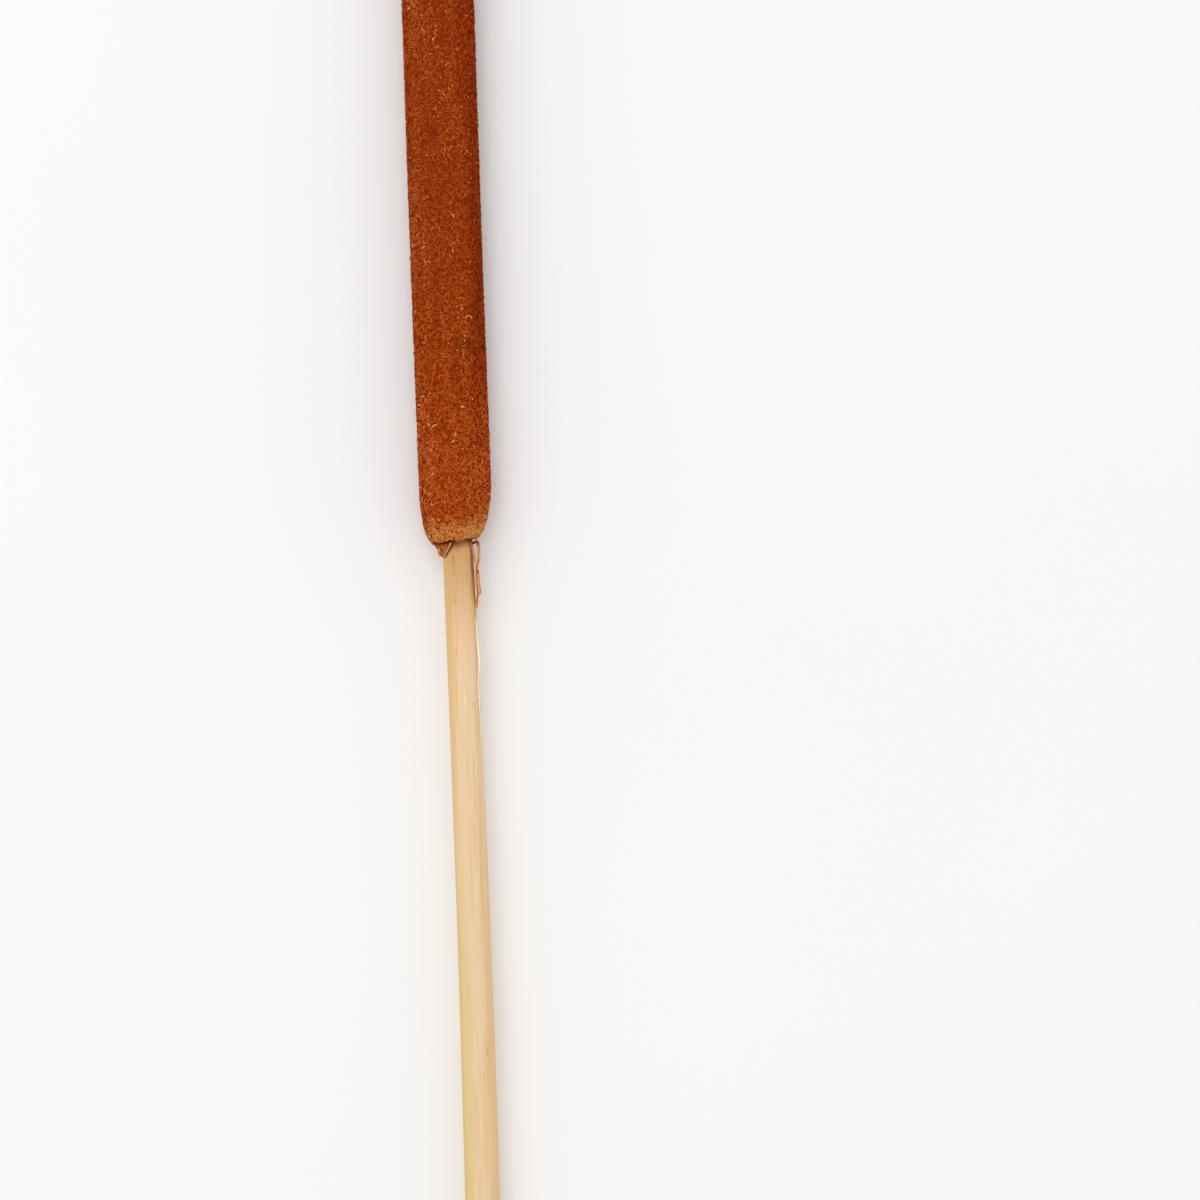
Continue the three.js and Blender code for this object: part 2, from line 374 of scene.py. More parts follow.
def ripple(rng, angle, y, waves, wavelength):
    """A random lengthwise relief of about 1, that is the same all along a streak and changes slowly."""
    total = 0
    for wave in waves:
        phase = rng.uniform(0, 2 * math.pi)
        drift = rng.uniform(-1, 1) * 2 * math.pi / wavelength
        total = total + np.sin(wave * angle + phase + drift * y) / len(waves) ** 0.5
    return total


# Meshes


def mesh_piece(name, points, face_groups, corners=None):
    """A mesh object from arrays. face_groups are arrays of quads or triangles, corners their bake map."""
    mesh = bpy.data.meshes.new(name)
    loops = np.concatenate([faces.ravel() for faces in face_groups]).astype(np.int32)
    counts = np.concatenate([np.full(len(faces), faces.shape[1]) for faces in face_groups])
    starts = np.concatenate([[0], np.cumsum(counts)[:-1]]).astype(np.int32)
    mesh.vertices.add(len(points))
    mesh.vertices.foreach_set("co", points.astype(np.float32).ravel())
    mesh.loops.add(len(loops))
    mesh.loops.foreach_set("vertex_index", loops)
    mesh.polygons.add(len(counts))
    mesh.polygons.foreach_set("loop_start", starts)
    if corners is not None:
        layer = mesh.uv_layers.new(name="OFBake")
        layer.data.foreach_set("uv", corners.astype(np.float32).ravel())
    mesh.update(calc_edges=True)
    mesh.shade_smooth()
    piece = bpy.data.objects.new(name, mesh)
    bpy.context.scene.collection.objects.link(piece)
    return piece


def store(piece, name, values):
    """Keeps one number for each point of the piece, for its material to read."""
    layer = piece.data.attributes.new(name, "FLOAT", "POINT")
    layer.data.foreach_set("value", np.asarray(values, np.float32).ravel())


def ring_grid(places, sides):
    """The place along a tube and the angle round it of each of its points, one row for each ring."""
    return np.meshgrid(places, np.arange(sides) * 2 * math.pi / sides, indexing="ij")


def fan_faces(middle, around):
    """Triangles from one point to a closed ring of points."""
    return np.stack([around, np.roll(around, -1), np.full(len(around), middle)], axis=-1)


def tube_faces(rings, sides):
    """Quads of a tube of rings, facing out where the rings run towards +Y."""
    index = np.arange(rings * sides).reshape(rings, sides)
    right = np.roll(index, -1, axis=1)
    return np.stack([index[:-1], index[1:], right[1:], right[:-1]], axis=-1).reshape(-1, 4)


def sheet_parts(grid, thickness):
    """Points and faces of a thin closed sheet over a grid of points, thickened to both sides."""
    rows, columns, _ = grid.shape
    outward = unit(np.cross(np.gradient(grid, axis=1), np.gradient(grid, axis=0)))
    half = outward * thickness / 2
    points = np.concatenate([(grid + half).reshape(-1, 3), (grid - half).reshape(-1, 3)])
    index = np.arange(rows * columns).reshape(rows, columns)
    corners = [index[:-1, :-1], index[:-1, 1:], index[1:, 1:], index[1:, :-1]]
    skin = np.stack(corners, axis=-1).reshape(-1, 4)
    loop = np.concatenate([index[0, :-1], index[:-1, -1], index[-1, :0:-1], index[:0:-1, 0]])
    after = np.roll(loop, -1)
    back = rows * columns
    edge = np.stack([after, loop, loop + back, after + back], axis=-1)
    return points, np.concatenate([skin, skin[:, ::-1] + back, edge])


def tube_corners(rings, sides, columns, reach=1.0):
    """The tube's bake map: its length is cut into equal columns that lie side by side."""
    ring, side = np.divmod(np.arange((rings - 1) * sides), sides)
    in_column = (rings - 1) / columns
    column, ring = np.divmod(ring, in_column)
    margin = 0.01
    u = mix(margin, 1 - margin, np.stack([side, side, side + 1, side + 1], axis=-1) / sides)
    v = mix(margin, 1 - margin, np.stack([ring, ring + 1, ring + 1, ring], axis=-1) / in_column)
    return np.stack([(column[:, None] + u) / columns, v * reach], axis=-1).reshape(-1, 2)


def dress(piece, material, slot, *nodes):
    """Gives the piece its material and its place in the frame, and hides the solids that it stands for."""
    piece.data.materials.append(material)
    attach(piece, BODY)
    if nodes:
        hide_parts(*nodes)
    return piece


# Materials


class Finish:
    """A node material under construction. Its grains and spots are given in millimetres."""

    SOFT_EDGE = 0.45

    def __init__(self, name, roughness, specular):
        self.material = bpy.data.materials.new(name)
        self.material.use_nodes = True
        self.tree = self.material.node_tree
        self.shader = self.tree.nodes["Principled BSDF"]
        self.shader.inputs["Roughness"].default_value = roughness
        self.shader.inputs["Specular IOR Level"].default_value = specular
        self.coordinates = self.node("TexCoord").outputs["Object"]

    def node(self, kind, **settings):
        made = self.tree.nodes.new("ShaderNode" + kind)
        for name, value in settings.items():
            setattr(made, name, value)
        return made

    def feed(self, socket, value):
        """Links a node's output to a socket, or sets the socket's own number, vector or colour."""
        if isinstance(value, bpy.types.NodeSocket):
            self.tree.links.new(value, socket)
        elif hasattr(value, "__len__"):
            wanted = len(socket.default_value)
            socket.default_value = (tuple(value) + (1.0,) * wanted)[:wanted]
        else:
            socket.default_value = value

    def attribute(self, name):
        return self.node("Attribute", attribute_name=name).outputs["Fac"]

    def math(self, operation, *values, kind="Math", result=0):
        made = self.node(kind, operation=operation)
        for socket, value in zip(made.inputs, values):
            self.feed(socket, value)
        return made.outputs[result]

    def product(self, first, second):
        return self.math("MULTIPLY", first, second)

    def divided(self, place, size):
        """A place divided by three lengths."""
        return self.math("MULTIPLY", place, [1 / (side * MM) for side in size], kind="VectorMath")

    def noise(self, across, along, detail=2.0, roughness=0.5):
        """Noise whose grain is this wide and this long."""
        made = self.node("TexNoise")
        self.feed(made.inputs["Vector"], self.divided(self.coordinates, (across, along, across)))
        made.inputs["Scale"].default_value = 1.0
        made.inputs["Detail"].default_value = detail
        made.inputs["Roughness"].default_value = roughness
        return made.outputs["Fac"]

    def window(self, value, low, high, to_low=0.0, to_high=1.0):
        """value taken smoothly from the range low to high onto another range."""
        made = self.node("MapRange", interpolation_type="SMOOTHSTEP")
        for socket, number in zip(made.inputs, (value, low, high, to_low, to_high)):
            self.feed(socket, number)
        return made.outputs[0]

    def blend(self, factor, first, second, kind="MIX"):
        made = self.node("Mix", data_type="RGBA", blend_type=kind)
        self.feed(made.inputs[0], factor)
        self.feed(made.inputs[6], first)
        self.feed(made.inputs[7], second)
        return made.outputs[2]

    def tinted(self, factor, body, tint):
        """The body's colour multiplied by a tint, where factor is 1."""
        return self.blend(factor, body, tint, "MULTIPLY")

    def ramp(self, factor, *stops):
        """A colour ramp through (place, colour) stops."""
        made = self.node("ValToRGB")
        elements = made.color_ramp.elements
        while len(elements) < len(stops):
            elements.new(0.5)
        for element, (place, _) in zip(elements, stops):
            element.position = place
        for element, (_, tint) in zip(elements, stops):
            element.color = (*tint, 1.0)
        self.feed(made.inputs[0], factor)
        return made.outputs[0]

    def spot(self, centre, size):
        """1 inside an ellipsoid round centre and 0 outside it, with a soft edge."""
        away = self.math("SUBTRACT", self.coordinates, centre, kind="VectorMath")
        distance = self.math("LENGTH", self.divided(away, size), kind="VectorMath", result="Value")
        return self.window(distance, self.SOFT_EDGE, 1.0, 1.0, 0.0)

    def bump(self, height, distance, strength=1.0):
        made = self.node("Bump")
        made.inputs["Strength"].default_value = strength
        made.inputs["Distance"].default_value = distance * MM
        self.feed(made.inputs["Height"], height)
        self.tree.links.new(made.outputs[0], self.shader.inputs["Normal"])

    def colour(self, value):
        """Gives the shader its colour, and hands over the material."""
        self.feed(self.shader.inputs["Base Color"], value)
        return self.material


# Greyish smudges on the head: their pixels in the photograph, and their size across, along and in depth
SMUDGE_PIXELS = (
    (418, 41), (427, 126), (432, 133), (447, 222),
    (458.5, 339.5), (467.5, 346), (467, 353), (462, 442),
)
SMUDGE_SIZE = (2.2, 2.8, 6)
SMUDGE_SHARE = 0.5

# How much red, green and blue stay in the head's soft streaks and in its smudges, in the painted shade just
# below the head's rim on the stem and the shred, and in the painted shade of the flap's crease and of its
# top under the rim
STREAK_TINT = (0.72, 0.66, 0.6)
SMUDGE_TINT = (0.72, 0.8, 1.0)
RIM_SHADE_TINT = (0.42, 0.26, 0.15)
FOLD_SHADE_TINT = (0.42, 0.22, 0.12)

# Where pale fibres follow each other in the photograph, as routes of pixels
FLECK_TRAILS = (
    ((435.3, 30), (432.5, 42), (437, 52), (439.5, 60), (436, 69)),
    ((433.5, 52.3), (425.6, 55.2), (420.8, 61.8)),
    ((440, 97), (436.5, 105), (441, 118), (442, 125), (446, 132)),
    ((432.3, 147), (432, 153), (425.6, 159.5)),
    ((438, 145), (441.4, 148), (446.8, 157)),
    ((462.9, 148), (467.4, 152.6), (471, 155.6)),
    ((463.2, 198.3), (469.8, 188.6)),
    ((450, 244), (452.6, 250.5), (453, 260)),
    ((417, 266.5), (428, 262)),
    ((440, 316), (442.3, 323), (442.5, 338)),
    ((463.8, 344.7), (460.2, 352.6)),
)
TRAIL_WIDTH = 0.3 * MM


def felt_material():
    """Rust-brown fibres, each of its own tone, which holds painted shade, with smudges and soft streaks
    over all but the palest.
    """
    finish = Finish("felt_fibres", roughness=0.95, specular=0.02)
    tints = colours()
    tone = finish.attribute("tone")
    body = finish.ramp(
        tone,
        (0.0, tints.felt_pit_shade),
        (0.25, tints.felt_dark),
        (0.6, tints.felt_mid),
        (0.85, tints.felt_light),
        (1.0, tints.felt_fleck),
    )
    dull = finish.window(tone, 0.72, 0.86, 1.0, 0.0)
    streaks = finish.window(finish.noise(2.5, 35, detail=3), 0.35, 0.7, 0.0, 0.42)
    body = finish.tinted(finish.product(streaks, dull), body, STREAK_TINT)
    smudged = finish.tinted(1.0, body, SMUDGE_TINT)
    clouds = finish.window(finish.noise(5, 8), 0.6, 0.75, 0.0, 0.35)
    body = finish.blend(finish.product(clouds, dull), body, smudged)
    for pixel in SMUDGE_PIXELS:
        mark = finish.product(finish.spot(on_top(pixel, head_top), SMUDGE_SIZE), dull)
        body = finish.blend(finish.product(mark, SMUDGE_SHARE), body, smudged)
    sandy = finish.ramp(
        tone,
        (0.0, tints.felt_dark),
        (0.28, tints.felt_mid),
        (0.56, tints.fringe),
        (0.9, tints.fringe_light),
    )
    return finish.colour(finish.blend(finish.attribute("sandy"), body, sandy))


def skin_material():
    """The matt ground between the fibres, dark as painted shade deep in the felt."""
    finish = Finish("head_skin", roughness=0.95, specular=0.02)
    tints = colours()
    grain = finish.noise(0.35, 0.5, detail=3)
    ground = finish.ramp(grain, (0.3, tints.felt_pit_shade), (0.75, tints.felt_dark))
    ground = finish.blend(finish.attribute("sandy"), ground, tints.felt_mid)
    finish.bump(grain, 0.15)
    return finish.colour(ground)


# What the photograph shows on the stem: pixel, size across, along and in depth, and strength
STEM_MARKS = {
    "dark streak": ((453.4, 562), (0.17, 3.4, 1.2), 0.46),
    "line on the right": ((466.4, 566), (0.14, 6.5, 1.2), 0.2),
    "end of the streak": ((454.2, 574), (0.28, 0.4, 1.2), 0.42),
    "upper fleck": ((466.5, 558.5), (0.2, 0.6, 1.2), 0.25),
    "wavy scar": ((455.5, 600), (0.5, 0.28, 1.5), 0.48),
    "end of the scar": ((458.6, 601), (0.3, 0.22, 1.5), 0.3),
    "faint streak": ((456.7, 654), (0.22, 2.2, 1.2), 0.18),
    "small speck": ((461.8, 698), (0.2, 0.28, 1.2), 0.3),
    "patch beside the scar": ((469.5, 700), (0.35, 0.5, 1.2), 0.2),
    "lower patch": ((473.3, 704), (0.4, 0.45, 1.2), 0.3),
    # A painted shadow: the dark line that the sliver casts on the stem
    "painted shadow beside the sliver": ((477.3, 684), (0.14, 19, 2.5), 0.25),
    "knot": ((487.5, 1053), (0.4, 1.1, 1.2), 0.2),
    "left speck": ((463.5, 1045), (0.22, 0.4, 1.2), 0.25),
    "right speck": ((481, 1090), (0.2, 0.35, 1.2), 0.25),
    "low speck": ((474, 1148), (0.25, 0.3, 1.2), 0.35),
}
PALE_SCAR = ((465.2, 701), (0.2, 3.2, 1.2), 0.4)


def stem_material():
    """Dry straw: soft lengthwise streaks, warm and green bands, scars and a few specks, with painted shade
    just below the head's rim.
    """
    finish = Finish("stem_straw", roughness=0.6, specular=0.08)
    tints = colours()
    fine = finish.noise(0.3, 16, detail=3, roughness=0.6)
    broad = finish.noise(1.6, 34, detail=3)
    streaks = finish.math("ADD", finish.product(fine, 0.55), finish.product(broad, 0.45))
    straw = finish.ramp(streaks, (0.4, tints.stem_tan), (0.52, tints.stem_cream))
    rosy = finish.window(finish.noise(0.8, 24, detail=2), 0.5, 0.66, 0.0, 0.55)
    straw = finish.blend(rosy, straw, tints.stem_pink)
    warmth = tuple(neck / cream for neck, cream in zip(tints.stem_neck, tints.stem_cream))
    straw = finish.tinted(finish.attribute("neck"), straw, warmth)
    patches = finish.noise(1.4, 40, detail=3)
    streaky = finish.noise(0.45, 10, detail=3)
    bands = (("green", patches, 0.6), ("orange", patches, 0.6), ("brown", streaky, 0.35))
    for band, uneven, least in bands:
        share = finish.product(finish.attribute(band), finish.window(uneven, 0.3, 0.65, least, 1.0))
        straw = finish.blend(share, straw, getattr(tints, "stem_" + band))
    for pixel, size, strength in STEM_MARKS.values():
        straw = finish.blend(stem_mark(finish, pixel, size, strength), straw, tints.stem_brown)
    straw = finish.blend(stem_mark(finish, *PALE_SCAR), straw, tints.sliver)
    dots = finish.window(finish.noise(0.5, 0.9, detail=1), 0.8, 0.84, 0.0, 0.3)
    straw = finish.blend(dots, straw, tints.stem_brown)
    # Painted shade on the stem just below the head's rim, where the rim overhangs it
    straw = finish.tinted(finish.attribute("contact"), straw, RIM_SHADE_TINT)
    cells = finish.noise(0.3, 0.3, detail=2)
    pith = finish.ramp(cells, (0.36, tints.stem_neck), (0.5, tints.pith))
    straw = finish.blend(finish.attribute("pith"), straw, pith)
    relief = finish.noise(0.25, 30, detail=3)
    finish.bump(relief, 0.03, 0.5)
    return finish.colour(straw)


def stem_mark(finish, pixel, size, strength):
    """Share of a mark on the stem's upper side, placed by its pixel."""
    return finish.product(finish.spot(on_top(pixel, stem_top), size), strength)


def sliver_material():
    """The pale inner side of a peeled sliver."""
    finish = Finish("sliver_cream", roughness=0.6, specular=0.15)
    tints = colours()
    veins = finish.noise(0.15, 6, detail=2)
    return finish.colour(finish.ramp(veins, (0.3, tints.stem_cream), (0.5, tints.sliver)))


SCAR_SHADE = 0.35


def spike_material():
    """Dry brown wood, rough with small scars."""
    finish = Finish("spike_brown", roughness=0.8, specular=0.15)
    brown = tuple(colours().spike_brown)
    dark = tuple(value * SCAR_SHADE for value in brown)
    scars = finish.noise(0.3, 0.7, detail=3)
    bark = finish.ramp(scars, (0.35, dark), (0.6, brown))
    finish.bump(scars, 0.12)
    return finish.colour(bark)


def flap_material():
    """Thin dry bract: rust with fine veins, with painted shade along its folded edge and under the head's
    rim, and a pale rim and tip.
    """
    finish = Finish("bract_paper", roughness=0.7, specular=0.05)
    tints = colours()
    rust = tuple(tints.flap_rust)
    dark = tuple(value * share for value, share in zip(rust, FOLD_SHADE_TINT))
    grain = finish.noise(0.22, 0.45, detail=3)
    paper = finish.ramp(grain, (0.3, dark), (0.5, rust), (0.8, tints.scrap_pale))
    # Painted shade in the crease along the right edge and on the top under the head's rim
    paper = finish.blend(finish.attribute("fold"), paper, dark)
    paper = finish.blend(finish.attribute("rim"), paper, tints.scrap_pale)
    finish.bump(grain, 0.08)
    return finish.colour(paper)


def shred_material():
    """Peeled strand: tan in its folds, darker there partly as painted shade, and pale along its edges, with
    painted shade just below the head's rim.
    """
    finish = Finish("bract_shred", roughness=0.7, specular=0.05)
    tints = colours()
    veins = finish.noise(0.15, 2.5, detail=3)
    paper = finish.ramp(veins, (0.36, tints.flap_rust), (0.6, tints.shred_tan))
    pale = finish.ramp(veins, (0.3, tints.shred_tan), (0.46, tints.scrap_pale))
    paper = finish.blend(finish.attribute("rim"), paper, pale)
    # Painted shade just below the head's rim
    paper = finish.tinted(finish.attribute("shaded"), paper, RIM_SHADE_TINT)
    finish.bump(veins, 0.08)
    return finish.colour(paper)


def floor_material():
    """Plain pale floor with a trace of unevenness."""
    finish = Finish("pale_floor", roughness=0.9, specular=0.1)
    pale = tuple(colours().floor)
    duller = tuple(value * 0.985 for value in pale)
    return finish.colour(finish.ramp(finish.noise(200, 200), (0.3, duller), (0.7, pale)))


# Pieces


def upper_side(x, y, radius):
    """Height of the upper side at x and y of a form of that radius, or of its centre line beside it."""
    aside = x - axis_x(y)
    return axis_z(y) + np.sqrt(np.maximum(radius**2 - aside**2, 0))


def stem_top(x, y):
    return upper_side(x, y, stem_radius(y, math.pi / 2))


def head_top(x, y):
    return upper_side(x, y, head_form(y, math.pi / 2)[0])


def stem_bands(y, angle):
    """Shares of the stem's tints, by the place from left to right and the distance below the head."""
    below = BASE_Y - y
    aside = np.cos(angle)

    def band(none_aside, full_aside, none_below, full_below):
        """1 where both places, from -1 to 1 aside and in millimetres below, are past the full one."""
        across = smooth01(none_aside, full_aside, aside)
        return across * smooth01(none_below * MM, full_below * MM, below)

    left = 0.8 * band(-0.35, -0.85, 85, 45) + 0.6 * band(-0.7, -1, 45, 85)
    high_right = band(0.55, 0.85, 24, 15)
    low_right = 0.25 * band(0.5, 0.75, 60, 90) + 0.2 * band(0.5, 0.7, 116, 126)
    return {
        "neck": 1 - smooth01(0, 31 * MM, below),
        "green": 0.8 * band(-0.1, -0.75, 55, 110),
        "orange": left + low_right + high_right,
        # The brown band at the right edge near the head is partly the stem's own brown and partly painted
        # shade beside the shred
        "brown": clamp01(0.95 * band(0.6, 0.92, 17.5, 11) + 0.8 * band(0.85, 0.98, 22, 13)),
        # Painted shade just below the head's rim, where the rim overhangs the stem
        "contact": smooth01(2.5 * MM, 0.1 * MM, below + rim_shift(angle)),
    }


class CattailStem(bpy.types.Operator):
    """Makes the stem with its lengthwise ribs and its cut end"""

    bl_idname = "cattail.stem"
    bl_label = "Stem"

    SIDES = 64
    RINGS = 421
    COLUMNS = 4
    COLUMNS_REACH = 0.88
    DISC_SIDE = 0.09
    DISC_PLACE = (0.02, 0.9)
    RIBS = range(9, 33, 2)
    RIB_HEIGHT = 0.006 * MM
    RIB_LENGTH = 0.25
    INSET = 0.03 * MM
    CUT_SLANT = 1.6 * MM
    CAP_SHARES = (0.93, 0.88, 0.75, 0.6, 0.45, 0.3, 0.15)
    SKIN_SHARE = 0.9
    PITH_DEPTH = 0.25 * MM
    PITH_MIDDLE = 0.3 * MM
    PITH_UNEVEN = 0.03 * MM
    RIM_PITH = 0.35

    def execute(self, context):
        rng = np.random.default_rng(felt().seed)
        y, angle = ring_grid(np.linspace(CUT_Y, BASE_Y + STEM_SEAT, self.RINGS), self.SIDES)
        ribs = ripple(rng, angle, y, self.RIBS, self.RIB_LENGTH) * self.RIB_HEIGHT
        points = around_axis(y, stem_radius(y, angle) + ribs - self.INSET, angle)
        near_cut = clamp01(1 - (y - CUT_Y) / (2 * self.CUT_SLANT))
        points[..., 1] += self.CUT_SLANT * (1 + np.sin(angle)) / 2 * near_cut
        points[..., 2] = np.maximum(points[..., 2], 0)
        cap, cap_faces = self.cut_face(rng, points[0])
        everything = np.concatenate([points.reshape(-1, 3), cap])
        faces = [tube_faces(self.RINGS, self.SIDES)] + cap_faces
        tube = tube_corners(self.RINGS, self.SIDES, self.COLUMNS, self.COLUMNS_REACH)
        corners = np.concatenate([tube, self.cap_corners(everything, cap_faces)])
        piece = mesh_piece("stem_straw", everything, faces, corners)
        for name, values in stem_bands(y, angle).items():
            store(piece, name, np.concatenate([values.ravel(), np.zeros(len(cap))]))
        pith = np.concatenate([np.zeros(y.size), np.ones(len(cap))])
        pith[y.size : y.size + self.SIDES] = self.RIM_PITH
        store(piece, "pith", pith)
        dress(piece, stem_material(), "stem", "stem")
        return {"FINISHED"}

    def cut_face(self, rng, rim):
        """Rings that close the cut end, with the soft pith a little sunk behind the skin."""
        centre = rim.mean(axis=0)
        rings = []
        for share in self.CAP_SHARES:
            ring = centre + (rim - centre) * share
            sunk = self.PITH_DEPTH if share < self.SKIN_SHARE else 0
            ring[:, 1] += sunk + rng.normal(0, self.PITH_UNEVEN, len(rim))
            rings.append(ring)
        cap = np.concatenate(rings + [centre[None] + [0, self.PITH_MIDDLE, 0]])
        around = np.arange(len(rim))
        first = self.RINGS * len(rim)
        index = np.stack([around] + [first + number * len(rim) + around for number in range(len(rings))])
        after = np.roll(index, -1, axis=1)
        quads = np.stack([index[:-1], after[:-1], after[1:], index[1:]], axis=-1).reshape(-1, 4)
        return cap, [quads, fan_faces(first + len(cap) - 1, index[-1])]

    def cap_corners(self, points, face_groups):
        """The cut face's place in the bake map: a small disc above the columns."""
        corners = np.concatenate([points[faces.ravel()] for faces in face_groups])
        across = corners[:, (0, 2)]
        low = across.min(axis=0)
        return (across - low) / np.ptp(across, axis=0) * self.DISC_SIDE + self.DISC_PLACE


class CattailHeadSkin(bpy.types.Operator):
    """Makes the seed head's ground under the felt"""

    bl_idname = "cattail.head_skin"
    bl_label = "Head Skin"

    SIDES = 96
    RINGS = 261
    COLUMNS = 4
    LIP_DEPTH = 0.1 * MM
    LOWEST = 0.1 * MM

    def execute(self, context):
        profile = HeadProfile()
        arc, angle = ring_grid(np.linspace(0, profile.length, self.RINGS), self.SIDES)
        point, _, _, outward = profile.frame(arc, angle)
        on_lip = (arc < profile.rim) | (arc > profile.length - profile.rim / 2)
        points = point - outward * np.where(on_lip, self.LIP_DEPTH, felt().depth)[..., None]
        points[..., 2] = np.maximum(points[..., 2], self.LOWEST)
        corners = tube_corners(self.RINGS, self.SIDES, self.COLUMNS)
        faces = tube_faces(self.RINGS, self.SIDES)
        piece = mesh_piece("head_skin", points.reshape(-1, 3), [faces], corners)
        # The lip keeps the dark ground colour as painted shade under the rim
        store(piece, "sandy", np.where(on_lip, 0, sandiness(arc - profile.rim, angle)))
        dress(piece, skin_material(), "seed_head", "seed_head")
        return {"FINISHED"}


def sandiness(above_rim, angle):
    """Share of the sandy colour: full at the rim and gone about 9 mm above it, with an uneven edge."""
    uneven = 0.8 * np.cos(angle) + 0.5 * np.sin(3 * angle + 1) + 0.4 * np.sin(8 * angle)
    reach = (5 + uneven) * MM
    return 1 - smooth01(0.5 * reach, 1.7 * reach, above_rim)


def ribbons(paths, side, widths):
    """Thin ribbons along paths of shape (count, steps, 3). side is the width's direction at each step."""
    count, steps, _ = paths.shape
    half = side * widths[..., None] / 2
    points = np.stack([paths - half, paths + half], axis=2).reshape(-1, 3)
    first = np.arange(count)[:, None] * steps * 2 + np.arange(steps - 1) * 2
    faces = np.stack([first, first + 1, first + 3, first + 2], axis=-1).reshape(-1, 4)
    return points, faces


def ribbon_corners(count, steps):
    """A bake map with one small cell for each ribbon, so that each keeps its own colour."""
    cells = math.ceil(math.sqrt(count))
    row, column = np.divmod(np.arange(count), cells)
    low = np.stack([column, row], axis=-1) / cells
    inset = 0.15
    marks = mix(inset, 1 - inset, np.linspace(0, 1, steps))
    u = np.stack([marks[:-1], marks[:-1], marks[1:], marks[1:]], axis=-1)
    v = np.broadcast_to([inset, 1 - inset, 1 - inset, inset], u.shape)
    cell = np.stack([u, v], axis=-1).reshape(1, -1, 2) / cells
    return (low[:, None] + cell).reshape(-1, 2)


class Layer(NamedTuple):
    """One layer of the felt: heights and tones are shares, and turn is how far a fibre curls."""

    name: str
    pieces: int
    density: float
    reach: float
    length: float
    width: float
    steps: int
    turn: float
    low: float
    high: float
    dark: float
    light: float


def felt_layers(profile):
    """The felt's layers: a fine ground made dark as painted shade, bolder curls over it, sandy grains at
    the rim, stray hairs.
    """
    fine = felt().ground_density
    bold = felt().curl_density
    long = felt().curl_length
    wide = felt().curl_width
    whole = profile.length
    rim = profile.rim + 7 * MM
    return (
        Layer("felt_ground", 2, fine, whole, 0.75 * MM, wide, 3, 0.9, 0, 0.6, 0.08, 0.62),
        Layer("felt_curls", 3, bold, whole, long, wide, 5, 2.4, 0.5, 1, 0.33, 0.92),
        Layer("felt_fringe", 1, 9.0, rim, 0.42 * MM, 1.15 * wide, 3, 1.4, 0.4, 1.3, -0.3, 1.2),
        Layer("stray_hairs", 1, 0.005, whole, 2.1 * MM, 0.6 * wide, 6, 1.6, 1.2, 1.7, 0.8, 0.95),
    )


def clumps(arc, angle):
    """Where the curls are bolder, from 0 to 1, in patches some millimetres wide."""
    waves = np.sin(3 * angle + arc / (2.9 * MM)) + np.sin(5 * angle - arc / (4.3 * MM) + 2)
    waves = waves + np.sin(9 * angle + arc / (7.1 * MM) + 4) + np.sin(7 * angle - arc / (1.9 * MM) + 1)
    return clamp01(0.5 + waves / 6)


def tone_drift(root, angle, above):
    """How the felt's tone wanders: in bands, paler on the left flank and darker high on the right."""
    bands = np.sin(4 * angle + root / (31 * MM) + 0.4) + np.sin(7 * angle - root / (47 * MM) + 2.2)
    bands = bands + np.sin(root / (8.3 * MM) + 2 * np.sin(2 * angle))
    bands = bands + np.sin(11 * angle + root / (19 * MM))
    aside = np.cos(angle)
    left = smooth01(-0.35, -0.75, aside) * np.maximum(np.sin(angle), 0)
    left = left * mix(0.16, 0.05, smooth01(75 * MM, 125 * MM, above))
    high_right = smooth01(0.35, 0.95, aside) * smooth01(30 * MM, 46 * MM, above)
    low_right = smooth01(0.1, 0.5, aside) * smooth01(34 * MM, 20 * MM, above)
    low_middle = np.exp(-(((aside + 0.35) / 0.3) ** 2)) * smooth01(52 * MM, 40 * MM, above)
    return 0.02 * bands + left - 0.15 * high_right + 0.07 * low_right - 0.05 * low_middle


def near_trail(points):
    """Whether each point on the upper side lies on a trail of pale fibres."""
    near = np.zeros(len(points), bool)
    for trail in FLECK_TRAILS:
        for start, end in zip(trail, trail[1:]):
            first = np.array(on_top(start, head_top)[:2])
            step = np.array(on_top(end, head_top)[:2]) - first
            share = clamp01((points[:, :2] - first) @ step / (step @ step))
            away = np.linalg.norm(points[:, :2] - first - share[:, None] * step, axis=1)
            near |= away < TRAIL_WIDTH
    return near & (points[:, 2] > HEAD_AXIS_HEIGHT)


